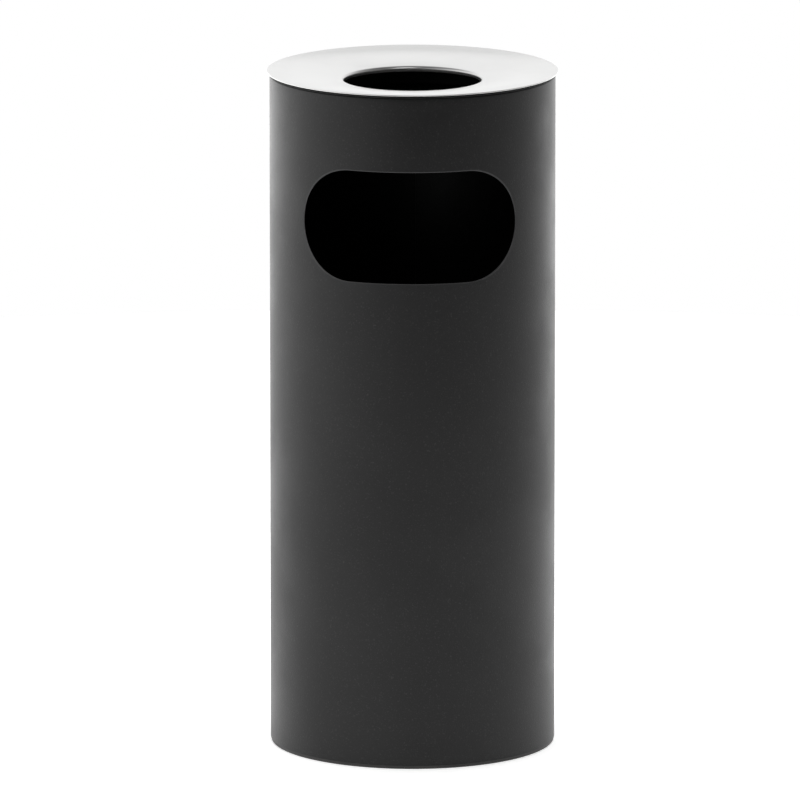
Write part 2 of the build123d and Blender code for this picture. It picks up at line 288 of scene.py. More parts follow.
def smooth(piece, angle=30):
    only(piece)
    bpy.ops.object.shade_smooth_by_angle(angle=radians(angle))
    return piece


def fit(piece, body, slot, material, *nodes):
    """Hands a finished piece over to its body and material, and stands it for its CAD nodes. The slot, its
    finish, is not used.
    """
    piece.data.materials.clear()
    piece.data.materials.append(material)
    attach(piece, body)
    if nodes:
        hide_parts(*nodes)
    return piece


# ---------------------------------------------------------------- shader building blocks
def add_node(tree, kind, **settings):
    node = tree.nodes.new(kind)
    for key, value in settings.items():
        setattr(node, key, value)
    return node


def set_inputs(node, **values):
    for key, value in values.items():
        node.inputs[key.replace("_", " ")].default_value = value
    return node


def new_group(name, inputs, outputs):
    """A shader node group with named number, vector and colour sockets."""
    group = bpy.data.node_groups.new(name, "ShaderNodeTree")
    kinds = {"value": "NodeSocketFloat", "vector": "NodeSocketVector", "colour": "NodeSocketColor"}
    for label, kind, default in inputs:
        socket = group.interface.new_socket(name=label, in_out="INPUT", socket_type=kinds[kind])
        if default is not None:
            socket.default_value = default
    for label, kind in outputs:
        group.interface.new_socket(name=label, in_out="OUTPUT", socket_type=kinds[kind])
    entry = group.nodes.new("NodeGroupInput")
    leave = group.nodes.new("NodeGroupOutput")
    return group, entry, leave


def sums(tree, operation, first, second):
    """One Math node. Each side is a socket or a number."""
    node = add_node(tree, "ShaderNodeMath", operation=operation)
    for socket, side in zip(node.inputs, (first, second)):
        if isinstance(side, (int, float)):
            socket.default_value = side
        else:
            tree.links.new(side, socket)
    return node.outputs[0]


def ranged(tree, value, low, high, to_low=0.0, to_high=1.0):
    """A Map Range node, eased at both ends."""
    node = add_node(tree, "ShaderNodeMapRange", interpolation_type="SMOOTHSTEP")
    node.inputs["From Min"].default_value = low
    node.inputs["From Max"].default_value = high
    node.inputs["To Min"].default_value = to_low
    node.inputs["To Max"].default_value = to_high
    tree.links.new(value, node.inputs["Value"])
    return node.outputs["Result"]


def noise(tree, vector, scale, detail=2.0, rough=0.5):
    node = add_node(tree, "ShaderNodeTexNoise")
    if isinstance(scale, (int, float)):
        node.inputs["Scale"].default_value = scale
    else:
        tree.links.new(scale, node.inputs["Scale"])
    node.inputs["Detail"].default_value = detail
    node.inputs["Roughness"].default_value = rough
    tree.links.new(vector, node.inputs["Vector"])
    return node.outputs["Fac"]


def mixed(tree, amount, first, second):
    """A colour Mix node. The amount is a socket, each colour a socket or three numbers."""
    node = add_node(tree, "ShaderNodeMix", data_type="RGBA")
    tree.links.new(amount, node.inputs["Factor"])
    for label, side in (("A", first), ("B", second)):
        socket = next(s for s in node.inputs if s.name == label and s.type == "RGBA")
        if isinstance(side, tuple):
            socket.default_value = (*side, 1)
        else:
            tree.links.new(side, socket)
    return next(s for s in node.outputs if s.type == "RGBA")


def grain_group():
    """Fine orange-peel grain of a sprayed or moulded surface: a height, and a mask of its high points."""
    group, entry, leave = new_group(
        "surface_grain",
        [("Coordinates", "vector", None), ("Grains per metre", "value", 900.0)],
        [("Height", "value"), ("High points", "value")],
    )
    coordinates = entry.outputs["Coordinates"]
    count = entry.outputs["Grains per metre"]
    coarse = noise(group, coordinates, count, 3.0, 0.55)
    finer = sums(group, "MULTIPLY", count, 2.7)
    fine = noise(group, coordinates, finer, 1.0, 0.5)
    height = sums(group, "ADD", coarse, sums(group, "MULTIPLY", fine, 0.35))
    group.links.new(height, leave.inputs["Height"])
    group.links.new(ranged(group, coarse, 0.56, 0.74), leave.inputs["High points"])
    return group


def cloud_group():
    """Slow uneven patches, as handling, rinsing and drying leave them: a mask."""
    group, entry, leave = new_group(
        "uneven_patches",
        [("Coordinates", "vector", None), ("Patches per metre", "value", 12.0)],
        [("Mask", "value")],
    )
    patches = noise(group, entry.outputs["Coordinates"], entry.outputs["Patches per metre"], 5.0, 0.6)
    group.links.new(ranged(group, patches, 0.35, 0.65), leave.inputs["Mask"])
    return group


def dust_group():
    """Dust that settles on faces that look up, in a broken layer: a mask."""
    group, entry, leave = new_group(
        "settled_dust",
        [("Coordinates", "vector", None), ("Amount", "value", 0.3)],
        [("Mask", "value")],
    )
    geometry = add_node(group, "ShaderNodeNewGeometry")
    split = add_node(group, "ShaderNodeSeparateXYZ")
    group.links.new(geometry.outputs["Normal"], split.inputs[0])
    facing = ranged(group, split.outputs["Z"], 0.35, 0.95)
    specks = noise(group, entry.outputs["Coordinates"], 260.0, 6.0, 0.7)
    layer = ranged(group, specks, 0.3, 0.75, 0.25, 1.0)
    mask = sums(group, "MULTIPLY", sums(group, "MULTIPLY", facing, layer), entry.outputs["Amount"])
    group.links.new(mask, leave.inputs["Mask"])
    return group


def band_group():
    """Rubbing in a band of heights, broken up by scratches along the round: a mask."""
    group, entry, leave = new_group(
        "rubbed_band",
        [
            ("Coordinates", "vector", None),
            ("Height", "value", 0.0),
            ("Reach", "value", 0.01),
            ("Amount", "value", 0.5),
        ],
        [("Mask", "value")],
    )
    split = add_node(group, "ShaderNodeSeparateXYZ")
    group.links.new(entry.outputs["Coordinates"], split.inputs[0])
    away = sums(group, "ABSOLUTE", sums(group, "SUBTRACT", split.outputs["Z"], entry.outputs["Height"]), 0)
    near = sums(group, "SUBTRACT", 1.0, sums(group, "DIVIDE", away, entry.outputs["Reach"]))
    stretch = add_node(group, "ShaderNodeMapping")
    stretch.inputs["Scale"].default_value = (1, 1, 6)
    group.links.new(entry.outputs["Coordinates"], stretch.inputs["Vector"])
    scratches = ranged(group, noise(group, stretch.outputs[0], 220.0, 6.0, 0.7), 0.5, 0.72)
    broken = sums(group, "MULTIPLY", ranged(group, near, 0.0, 1.0), scratches)
    group.links.new(sums(group, "MULTIPLY", broken, entry.outputs["Amount"]), leave.inputs["Mask"])
    return group


def painted_slot_highlight_group():
    """Painted highlight along the cut edge of the litter slot, a lighter grey standing in for light caught
    by the edge: a mask round the slot's outline.
    """
    group, entry, leave = new_group(
        "painted_slot_highlight",
        [("Coordinates", "vector", None), ("Reach", "value", 0.001)],
        [("Mask", "value")],
    )
    split = add_node(group, "ShaderNodeSeparateXYZ")
    group.links.new(entry.outputs["Coordinates"], split.inputs[0])
    front = sums(group, "MULTIPLY", split.outputs["Y"], -1.0)
    round_way = sums(group, "ABSOLUTE", sums(group, "ARCTAN2", split.outputs["X"], front), 0)
    past_straight = sums(group, "SUBTRACT", sums(group, "MULTIPLY", round_way, body_radius), slot_straight)
    sideways = sums(group, "MAXIMUM", past_straight, 0.0)
    up = sums(group, "SUBTRACT", split.outputs["Z"], slot_middle)
    both = sums(group, "ADD", sums(group, "POWER", sideways, 2.0), sums(group, "POWER", up, 2.0))
    out = sums(group, "SQRT", both, 0)
    away = sums(group, "ABSOLUTE", sums(group, "SUBTRACT", out, slot_height / 2), 0)
    near = sums(group, "SUBTRACT", 1.0, sums(group, "DIVIDE", away, entry.outputs["Reach"]))
    group.links.new(ranged(group, near, 0.0, 0.6), leave.inputs["Mask"])
    return group


grain = grain_group()
painted_slot_highlight = painted_slot_highlight_group()
clouds = cloud_group()
dust = dust_group()
band = band_group()


def start_material(name):
    """A node material with its Principled shader and the coordinates of the object it is on."""
    material = bpy.data.materials.new(name)
    material.use_nodes = True
    tree = material.node_tree
    tree.nodes.clear()
    output = add_node(tree, "ShaderNodeOutputMaterial")
    shader = add_node(tree, "ShaderNodeBsdfPrincipled")
    tree.links.new(shader.outputs[0], output.inputs["Surface"])
    coordinates = add_node(tree, "ShaderNodeTexCoord").outputs["Object"]
    return material, tree, shader, coordinates


def place_group(tree, group, coordinates, **values):
    node = add_node(tree, "ShaderNodeGroup", node_tree=group)
    tree.links.new(coordinates, node.inputs["Coordinates"])
    return set_inputs(node, **values)


def bump(tree, shader, height, distance, strength=1.0):
    node = add_node(tree, "ShaderNodeBump")
    node.inputs["Distance"].default_value = distance
    node.inputs["Strength"].default_value = strength
    tree.links.new(height, node.inputs["Height"])
    tree.links.new(node.outputs["Normal"], shader.inputs["Normal"])


def powder_coat(name, colour, glint, roughness, grains, depth, dusty, slot_highlight_grey):
    """Sprayed and baked powder: grain that glints on its high points, slow gloss patches, a little dust."""
    material, tree, shader, coordinates = start_material(name)
    fine = place_group(tree, grain, coordinates, Grains_per_metre=grains)
    patches = place_group(tree, clouds, coordinates, Patches_per_metre=9.0)
    lying = place_group(tree, dust, coordinates, Amount=dusty)
    low_rub = place_group(tree, band, coordinates, Height=3 * mm, Reach=12 * mm, Amount=0.25)
    # painted highlight: a lighter grey along the litter slot's outline stands in for light caught by its cut
    # edge
    edges = place_group(tree, painted_slot_highlight, coordinates, Reach=1.1 * mm)
    coat = mixed(tree, fine.outputs["High points"], colour, glint)
    slot_highlighted = mixed(tree, edges.outputs["Mask"], coat, slot_highlight_grey)
    rubbed = mixed(tree, low_rub.outputs["Mask"], slot_highlighted, (0.05, 0.05, 0.052))
    final = mixed(tree, lying.outputs["Mask"], rubbed, (0.16, 0.155, 0.145))
    tree.links.new(final, shader.inputs["Base Color"])
    gloss = ranged(tree, patches.outputs["Mask"], 0, 1, roughness - 0.03, roughness + 0.04)
    tree.links.new(
        sums(tree, "ADD", gloss, sums(tree, "MULTIPLY", lying.outputs["Mask"], 0.4)),
        shader.inputs["Roughness"],
    )
    bump(tree, shader, fine.outputs["Height"], depth)
    return material, shader


def body_coat():
    material, shader = powder_coat(
        "anthracite_powder_coat",
        (0.0030, 0.0030, 0.0032),
        (0.018, 0.018, 0.0185),
        0.40,
        700.0,
        0.10 * mm,
        0.05,
        # grey of the painted highlight along the litter slot's cut edge
        (0.030, 0.030, 0.031),
    )
    shader.inputs["IOR"].default_value = 1.40
    return material


def pan_coat():
    material, shader = powder_coat(
        "black_pan_coat", (0.006, 0.006, 0.006), (0.012, 0.012, 0.012), 0.55, 700.0, 0.05 * mm, 0.12,
        (0.006, 0.006, 0.006),
    )
    shader.inputs["IOR"].default_value = 1.40
    return material


def lid_steel():
    """Satin stainless: fine turned lines under a blasted bloom, and faint wipe marks."""
    material, tree, shader, coordinates = start_material("satin_stainless")
    fine = place_group(tree, grain, coordinates, Grains_per_metre=2200.0)
    patches = place_group(tree, clouds, coordinates, Patches_per_metre=14.0)
    split = add_node(tree, "ShaderNodeSeparateXYZ")
    tree.links.new(coordinates, split.inputs[0])
    across = sums(tree, "MULTIPLY", split.outputs["X"], split.outputs["X"])
    along = sums(tree, "MULTIPLY", split.outputs["Y"], split.outputs["Y"])
    radius = sums(tree, "SQRT", sums(tree, "ADD", across, along), 0)
    rings = add_node(tree, "ShaderNodeCombineXYZ")
    tree.links.new(radius, rings.inputs["X"])
    lines = noise(tree, rings.outputs[0], 2600.0, 2.0, 0.6)
    bright = mixed(tree, lines, (0.71, 0.71, 0.705), (0.75, 0.75, 0.745))
    dull = mixed(tree, patches.outputs["Mask"], bright, (0.72, 0.72, 0.715))
    tree.links.new(dull, shader.inputs["Base Color"])
    shader.inputs["Metallic"].default_value = 1.0
    gloss = ranged(tree, patches.outputs["Mask"], 0, 1, 0.30, 0.32)
    tree.links.new(gloss, shader.inputs["Roughness"])
    height = sums(tree, "ADD", fine.outputs["Height"], sums(tree, "MULTIPLY", lines, 1.5))
    bump(tree, shader, height, 0.0012 * mm)
    return material


def zinc_sheet():
    """Galvanised sheet: flat crystals with slightly different tones, and a greyed, wiped surface."""
    material, tree, shader, coordinates = start_material("galvanised_spangle")
    crystals = add_node(tree, "ShaderNodeTexVoronoi")
    crystals.inputs["Scale"].default_value = 110.0
    crystals.inputs["Randomness"].default_value = 1.0
    tree.links.new(coordinates, crystals.inputs["Vector"])
    split = add_node(tree, "ShaderNodeSeparateXYZ")
    tree.links.new(crystals.outputs["Color"], split.inputs[0])
    patches = place_group(tree, clouds, coordinates, Patches_per_metre=16.0)
    fine = place_group(tree, grain, coordinates, Grains_per_metre=1500.0)
    tone = mixed(tree, split.outputs["X"], (0.36, 0.38, 0.39), (0.56, 0.58, 0.59))
    grey = mixed(tree, patches.outputs["Mask"], tone, (0.40, 0.41, 0.41))
    tree.links.new(grey, shader.inputs["Base Color"])
    shader.inputs["Metallic"].default_value = 1.0
    gloss = ranged(tree, split.outputs["Y"], 0, 1, 0.34, 0.5)
    tree.links.new(gloss, shader.inputs["Roughness"])
    bump(tree, shader, fine.outputs["Height"], 0.008 * mm)
    return material


def bright_metal(name, dark, light, roughness, per_metre):
    """Drawn wire or turned fixings: fine lines, dull in the lows and bright on the highs."""
    material, tree, shader, coordinates = start_material(name)
    fine = place_group(tree, grain, coordinates, Grains_per_metre=per_metre)
    patches = place_group(tree, clouds, coordinates, Patches_per_metre=45.0)
    tone = mixed(tree, fine.outputs["High points"], dark, light)
    worn = mixed(tree, patches.outputs["Mask"], tone, dark)
    tree.links.new(worn, shader.inputs["Base Color"])
    shader.inputs["Metallic"].default_value = 1.0
    gloss = ranged(tree, patches.outputs["Mask"], 0, 1, roughness - 0.06, roughness + 0.08)
    tree.links.new(gloss, shader.inputs["Roughness"])
    bump(tree, shader, fine.outputs["Height"], 0.012 * mm)
    return material


def moulded(name, colour, rubbed, roughness, per_metre):
    """Moulded black plastic: eroded mould grain, greyed where it is touched."""
    material, tree, shader, coordinates = start_material(name)
    fine = place_group(tree, grain, coordinates, Grains_per_metre=per_metre)
    patches = place_group(tree, clouds, coordinates, Patches_per_metre=30.0)
    tone = mixed(tree, patches.outputs["Mask"], colour, rubbed)
    tree.links.new(tone, shader.inputs["Base Color"])
    gloss = ranged(tree, patches.outputs["Mask"], 0, 1, roughness - 0.05, roughness + 0.08)
    tree.links.new(gloss, shader.inputs["Roughness"])
    bump(tree, shader, fine.outputs["Height"], 0.02 * mm)
    return material


coat = body_coat()
inner_coat = pan_coat()
steel = lid_steel()
zinc = zinc_sheet()
wire = bright_metal("drawn_zinc_wire", (0.30, 0.31, 0.32), (0.52, 0.53, 0.54), 0.42, 1600.0)
fixing = bright_metal("plated_fixings", (0.42, 0.43, 0.44), (0.66, 0.67, 0.68), 0.32, 2600.0)
foot_plastic = moulded("moulded_foot", (0.012, 0.012, 0.012), (0.035, 0.034, 0.033), 0.5, 1500.0)
knob_plastic = moulded("moulded_knob", (0.010, 0.010, 0.011), (0.022, 0.022, 0.022), 0.3, 2600.0)


# ---------------------------------------------------------------- drum
def slot_cutter():
    """A round punch whose halves are swung apart round the drum, which leaves the slot's straight middle."""
    sides = 144
    end_half_angle = radians(90) - atan2((body_radius**2 - (slot_height / 2) ** 2) ** 0.5, slot_height / 2)
    swing = slot_width / 2 / body_radius - end_half_angle
    bpy.ops.object.select_all(action="DESELECT")
    bpy.ops.mesh.primitive_cylinder_add(
        vertices=sides,
        radius=slot_height / 2,
        depth=50 * mm,
        location=(0, -body_radius, slot_middle),
        rotation=(radians(90), pi / sides, 0),
    )
    punch = bpy.context.object
    bpy.ops.object.transform_apply(location=True, rotation=True, scale=True)
    begin_edit()
    bpy.ops.mesh.select_all(action="SELECT")
    bpy.ops.mesh.bisect(plane_co=(0, 0, 0), plane_no=(1, 0, 0))
    for side in (-1, 1):
        pick_vertices(punch, lambda place, side=side: place.x * side > 0.1 * mm)
        bpy.ops.transform.rotate(value=-side * swing, orient_axis="Z", center_override=(0, 0, 0))
    end_edit()
    return punch


def lap_seam(shell):
    """Lifts the drum's skin at the back where one edge of the sheet laps over the other."""
    only(shell)
    begin_edit()
    pitch = 2 * pi / round_segments
    low = shell_low.z + seam_margin
    high = shell_high.z - shell_bend - seam_margin

    def column(angle):
        def there(place):
            on_wall = low + 0.1 * mm < place.z < high - 0.1 * mm
            return on_wall and abs((atan2(place.y, place.x) - angle + pi) % (2 * pi) - pi) < pitch / 4

        return there

    lapped = int(radians(seam_blend) / pitch)
    for step in range(lapped):
        angle = radians(seam_angle) + step * pitch
        lift = 1 + seam_step * (1 - step / lapped) / body_radius
        pick_vertices(shell, column(angle))
        bpy.ops.transform.resize(value=(lift, lift, 1), center_override=(0, 0, 0))
    pick_vertices(shell, column(radians(seam_angle) - pitch))
    bpy.ops.transform.rotate(value=-0.93 * pitch, orient_axis="Z", center_override=(0, 0, 0))
    end_edit()


def drum_shell():
    foot, top = shell_low.z, shell_high.z
    seam_low, seam_high = foot + seam_margin, top - shell_bend - seam_margin
    slot_low, slot_high = slot_middle - slot_height / 2, slot_middle + slot_height / 2
    corners = [(body_radius, top - 3 * shell_bend), (body_radius, top), (shell_mouth, top)]
    bend = rounded(corners, [shell_bend])
    section = [
        (body_radius, foot),
        (body_radius, seam_low),
        (body_radius, seam_low + 0.4 * mm),
        *climb(body_radius, seam_low, slot_low - 4 * mm, 12),
        *climb(body_radius, slot_low - 7 * mm, slot_high + 7 * mm, 38),
        *climb(body_radius, slot_high + 4 * mm, seam_high, 3),
        (body_radius, seam_high - 0.4 * mm),
        (body_radius, seam_high),
        *bend[1:],
    ]
    shell = turned("drum_shell", section, round_segments)
    lap_seam(shell)
    thicken(shell, shell_sheet, "left")
    cut_away(shell, slot_cutter())
    only(shell)
    begin_edit()
    bpy.ops.mesh.select_all(action="SELECT")
    bpy.ops.mesh.remove_doubles(threshold=0.04 * mm)
    end_edit()
    in_slot = lambda middle: middle.y < -60 * mm and slot_low - mm < middle.z < slot_high + mm
    ease_edges(shell, cut_edge, where=in_slot)
    smooth(shell)
    return fit(shell, "drum", "body_coat", coat, "outer_shell")


# ---------------------------------------------------------------- lid
def lid_dish():
    edge, top = lid_high.x, lid_high.z
    slope = lid_drop / (edge - lid_hole)
    edge_radius = edge - lid_sheet * slope
    inner_top = top - (edge_radius - lid_hole) * slope
    section = rounded(
        [(edge_radius, top), (lid_hole, inner_top), (lid_hole, lid_low.z)],
        [lid_bend],
    )
    lid = turned("lid_dish_skin", section, round_segments)
    thicken(lid, lid_sheet, "left")
    ease_edges(lid, 0.3 * mm)
    smooth(lid)
    return fit(lid, "lid", "lid_steel", steel, "lid_dish")


# ---------------------------------------------------------------- camera, light and floor
camera_distance = 11.744
camera_height = 2.6947
camera_pitch = 0.1994
camera_turn = radians(1.6)


# glow of the walls by the angle from the front, positive to the right, and by the height looked at
walls_around = [
    (-180, 2.4),
    (-145, 2.3),
    (-120, 1.95),
    (-90, 1.9),
    (-60, 1.4),
    (-30, 0.75),
    (-12, 0.28),
    (0, 0.1),
    (20, 0.02),
    (42, 0.1),
    (60, 0.34),
    (90, 0.54),
    (112, 0.85),
    (135, 1.6),
    (160, 2.2),
]
walls_up = [(0.0, 1.0), (0.495, 1.0), (0.53, 0.62), (0.56, 0.48), (0.74, 0.52), (0.85, 0.2), (0.95, 0.12)]


def make_camera():
    bpy.ops.object.select_all(action="DESELECT")
    bpy.ops.object.camera_add(
        location=(
            camera_distance * sin(camera_turn),
            -camera_distance * cos(camera_turn),
            camera_height,
        ),
        rotation=(pi / 2 - camera_pitch, 0, camera_turn),
    )
    camera = bpy.context.object
    camera.name = "camera"
    camera.data.sensor_width = 36
    camera.data.lens = 602.3
    camera.data.shift_x = -0.01564
    camera.data.shift_y = -0.0160
    camera.data.clip_end = 100
    camera.data.dof.use_dof = False
    bpy.context.scene.camera = camera


def studio_world():
    """Soft studio light: bright walls behind and to the left, dimmer to the right, a dark room in front.
    The walls shine most at the height of the floor and fade to a dark ceiling."""
    world = bpy.data.worlds.new("studio")
    bpy.context.scene.world = world
    world.use_nodes = True
    tree = world.node_tree
    tree.nodes.clear()
    direction = add_node(tree, "ShaderNodeTexCoord").outputs["Generated"]
    turn = add_node(tree, "ShaderNodeTexGradient", gradient_type="RADIAL")
    tree.links.new(direction, turn.inputs[0])
    walls = add_node(tree, "ShaderNodeValToRGB")
    stops = [((0.25 + angle / 360) % 1, glow) for angle, glow in walls_around]
    behind = next(glow for place, glow in stops if place == 0)
    fill_ramp(walls.color_ramp, [*stops, (1.0, behind)])
    tree.links.new(turn.outputs["Fac"], walls.inputs["Fac"])
    split = add_node(tree, "ShaderNodeSeparateXYZ")
    tree.links.new(direction, split.inputs[0])
    height = add_node(tree, "ShaderNodeMapRange")
    height.inputs["From Min"].default_value = -1
    height.inputs["From Max"].default_value = 1
    tree.links.new(split.outputs["Z"], height.inputs["Value"])
    fade = add_node(tree, "ShaderNodeValToRGB")
    fill_ramp(fade.color_ramp, walls_up)
    tree.links.new(height.outputs["Result"], fade.inputs["Fac"])
    light = add_node(tree, "ShaderNodeMix", data_type="RGBA", blend_type="MULTIPLY")
    light.inputs["Factor"].default_value = 1
    sockets = [s for s in light.inputs if s.type == "RGBA"]
    tree.links.new(walls.outputs["Color"], sockets[0])
    tree.links.new(fade.outputs["Color"], sockets[1])
    lighting = add_node(tree, "ShaderNodeBackground")
    tree.links.new(next(s for s in light.outputs if s.type == "RGBA"), lighting.inputs["Color"])
    seen = add_node(tree, "ShaderNodeBackground")
    seen.inputs["Color"].default_value = (1, 1, 1, 1)
    rays = add_node(tree, "ShaderNodeLightPath")
    either = add_node(tree, "ShaderNodeMixShader")
    tree.links.new(rays.outputs["Is Camera Ray"], either.inputs["Fac"])
    tree.links.new(lighting.outputs[0], either.inputs[1])
    tree.links.new(seen.outputs[0], either.inputs[2])
    output = add_node(tree, "ShaderNodeOutputWorld")
    tree.links.new(either.outputs[0], output.inputs["Surface"])


def fill_ramp(ramp, stops):
    """Sets a grey ramp's stops in order along it."""
    stops = sorted(stops)
    while len(ramp.elements) > 1:
        ramp.elements.remove(ramp.elements[-1])
    ramp.elements[0].position = stops[0][0]
    ramp.elements[0].color = (*[stops[0][1]] * 3, 1)
    for position, grey in stops[1:]:
        ramp.elements.new(position).color = (*[grey] * 3, 1)


def area_light(name, place, aim, width, height, watts, in_gloss=True):
    """A soft box that lights the bin and isn't seen itself."""
    bpy.ops.object.select_all(action="DESELECT")
    bpy.ops.object.light_add(type="AREA", location=place)
    lamp = bpy.context.object
    lamp.name = name
    lamp.data.shape = "RECTANGLE"
    lamp.data.size = width
    lamp.data.size_y = height
    lamp.data.energy = watts
    reach = [there - here for here, there in zip(place, aim)]
    lamp.rotation_euler = (
        atan2(hypot(reach[0], reach[1]), -reach[2]),
        0,
        atan2(reach[1], reach[0]) - pi / 2,
    )
    lamp.visible_camera = False
    lamp.visible_glossy = in_gloss
    return lamp


def studio_floor():
    """A round pale floor, a little uneven in tone."""
    bpy.ops.object.select_all(action="DESELECT")
    bpy.ops.mesh.primitive_circle_add(
        vertices=96, radius=2.0, location=(0, 0, -0.1 * mm), fill_type="NGON"
    )
    floor = bpy.context.object
    floor.name = "studio_floor"
    bpy.ops.object.transform_apply(location=True, rotation=True, scale=True)
    material, tree, shader, coordinates = start_material("pale_floor")
    patches = place_group(tree, clouds, coordinates, Patches_per_metre=3.0)
    tone = mixed(tree, patches.outputs["Mask"], (0.93, 0.93, 0.93), (0.95, 0.95, 0.95))
    tree.links.new(tone, shader.inputs["Base Color"])
    shader.inputs["Roughness"].default_value = 0.9
    shader.inputs["Specular IOR Level"].default_value = 0.1
    shader.inputs["Emission Color"].default_value = (1, 1, 1, 1)
    shader.inputs["Emission Strength"].default_value = 0.45
    floor.data.materials.append(material)


# ---------------------------------------------------------------- floor end
def base_plate():
    """A flanged disc with a raised middle and four drain holes."""
    top, flange_top = base_high.z, base_high.z - plateau_rise
    bend = rounded(
        [
            (90 * mm, top),
            (plateau_radius, top),
            (plateau_radius + plateau_rise, flange_top),
            (base_high.x, flange_top),
            (base_high.x, base_low.z),
        ],
        [1.5 * mm, 1.5 * mm, 2.5 * mm],
    )
    section = [(flat_centre, top), (68 * mm, top), (82 * mm, top), *bend]
    plate = turned("base_plate_pressing", section, inner_segments, filled=True)
    thicken(plate, base_sheet, "right")
    for quarter in range(4):
        angle = radians(45 + 90 * quarter)
        place = (drain_circle * cos(angle), drain_circle * sin(angle), top)
        cut_away(plate, punch(place, drain_radius, 6 * base_sheet, 40))
    ease_edges(plate, pressed_edge)
    smooth(plate)
    return fit(plate, "drum", "body_coat", coat, "base_plate")


def punch(place, radius, depth, sides):
    """A round punch that stands on end."""
    bpy.ops.object.select_all(action="DESELECT")
    bpy.ops.mesh.primitive_cylinder_add(vertices=sides, radius=radius, depth=depth, location=place)
    tool = bpy.context.object
    bpy.ops.object.transform_apply(location=True, rotation=True, scale=True)
    return tool


def foot_ring():
    """A moulded edge: a lip that the drum stands on, and a wall that grips inside the base plate."""
    outer, grip = foot_high.x, foot_grip_radius
    inner = outer - foot_lip_width
    section = rounded(
        [
            (inner, 0.5 * foot_height),
            (inner, 0),
            (outer, 0),
            (outer, foot_height),
            (grip, foot_height),
            (grip, foot_high.z),
            (grip - foot_grip_wall, foot_high.z),
            (grip - foot_grip_wall, foot_height),
            (inner, foot_height),
            (inner, 0.55 * foot_height),
        ],
        [0.4 * mm, 1.0 * mm, 0.3 * mm, 0.2 * mm, 0.5 * mm, 0.5 * mm, 0.3 * mm, 0.4 * mm],
    )
    ring = turned("foot_edge_ring", section, inner_segments, closed=True)
    smooth(ring)
    return fit(ring, "drum", "foot_plastic", foot_plastic, "foot_ring")


# ---------------------------------------------------------------- liner and its bail
def liner_wall():
    seam_low = base_high.z - plateau_rise + chime_height + lock_seam_margin
    seam_high = curl_height - curl_outer - lock_seam_margin
    section = [
        (liner_inner, liner_low.z),
        (liner_inner, seam_low),
        (liner_inner, seam_low + 0.5 * mm),
        *climb(liner_inner, seam_low, seam_high, 6),
        (liner_inner, seam_high - 0.5 * mm),
        (liner_inner, seam_high),
        *arc((curl_radius, curl_height), curl_outer, 180, -130),
    ]
    wall = turned("liner_can", section, inner_segments)
    thicken(wall, liner_sheet, "right")
    lock_seam(wall, seam_low, seam_high)
    smooth(wall)
    return fit(wall, "liner", "galvanised_sheet", zinc, "liner_wall")


def lock_seam(wall, seam_low, seam_high):
    """Raises the folded seam on the outside of the liner, three columns wide with steep sides."""
    only(wall)
    begin_edit()
    pitch = 2 * pi / inner_segments

    def outside(low, high, steps):
        def there(place):
            skin = hypot(place.x, place.y) > liner_inner + liner_sheet / 2
            turn = (atan2(place.y, place.x) - pi / 2) / pitch
            return skin and low < place.z < high and min(abs(turn - step) for step in steps) < 0.25

        return there

    for step in (-2, 2):
        pick_vertices(wall, outside(seam_low - mm, seam_high + mm, (step,)))
        bpy.ops.transform.rotate(value=step / 2 * 0.8 * pitch, orient_axis="Z", center_override=(0, 0, 0))
    pick_vertices(wall, outside(seam_low + 0.3 * mm, seam_high - 0.3 * mm, (-1, 0, 1)))
    proud = 1 + lock_seam_step / (liner_inner + liner_sheet)
    bpy.ops.transform.resize(value=(proud, proud, 1), center_override=(0, 0, 0))
    end_edit()


def liner_bottom():
    inner = liner_inner - 0.05 * mm - liner_sheet
    outer = bottom_high.x
    floor = bottom_high.z - mm
    section = rounded(
        [
            (flat_centre, floor),
            (inner, floor),
            (inner, bottom_low.z),
            (outer, bottom_low.z),
            (outer, bottom_high.z),
        ],
        [0.5 * mm, 1.2 * mm, 1.2 * mm],
    )
    disc = turned("liner_floor", section, inner_segments, filled=True)
    thicken(disc, liner_sheet, "left")
    smooth(disc)
    return fit(disc, "liner", "galvanised_sheet", zinc, "liner_bottom")


def rim_wire():
    section = arc((curl_radius, curl_height), rim_wire_radius, 0, 345)
    ring = turned("rim_wire", section, inner_segments, closed=True)
    smooth(ring)
    return fit(ring, "liner", "galvanised_wire", wire, "liner_rim_wire")


def rivet_dome(radius, height, end, way):
    """Half section of a domed head, from the side of its tip, with a small flat at the tip."""
    sphere = (radius**2 + height**2) / (2 * height)
    steps = 6
    dome = []
    for step in range(1, steps + 1):
        out = radius * step / steps
        dome.append((out, end + way * (sphere - (sphere**2 - out**2) ** 0.5)))
    return dome


def ear_rivets():
    """One rivet is turned, laid along X and copied to the other three places."""
    low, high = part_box("ear_rivet_right_upper")
    head, height, shank = 4.0 * mm, 1.6 * mm, 1.95 * mm
    length = high.x - low.x
    section = [
        *rivet_dome(head, height, 0, 1),
        (shank, height),
        (shank, length - height),
        *reversed(rivet_dome(head, height, length, -1)),
    ]
    first = turned("rivet", section, 40, filled=True, capped=True)
    smooth(first)
    only(first)
    bpy.ops.transform.rotate(value=radians(90), orient_axis="Y", center_override=(0, 0, 0))
    bpy.ops.object.transform_apply(location=True, rotation=True, scale=True)
    bpy.ops.object.origin_set(type="ORIGIN_GEOMETRY", center="BOUNDS")
    for side in ("left", "right"):
        for level in ("upper", "lower"):
            node = "ear_rivet_" + side + "_" + level
            low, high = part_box(node)
            rivet = first.copy()
            rivet.data = first.data.copy()
            bpy.context.collection.objects.link(rivet)
            rivet.name = "rivet_" + side + "_" + level
            rivet.location = (low + high) / 2
            only(rivet)
            bpy.ops.object.transform_apply(location=True, rotation=True, scale=True)
            fit(rivet, "liner", "rivet_steel", fixing, node)
    bpy.data.objects.remove(first)


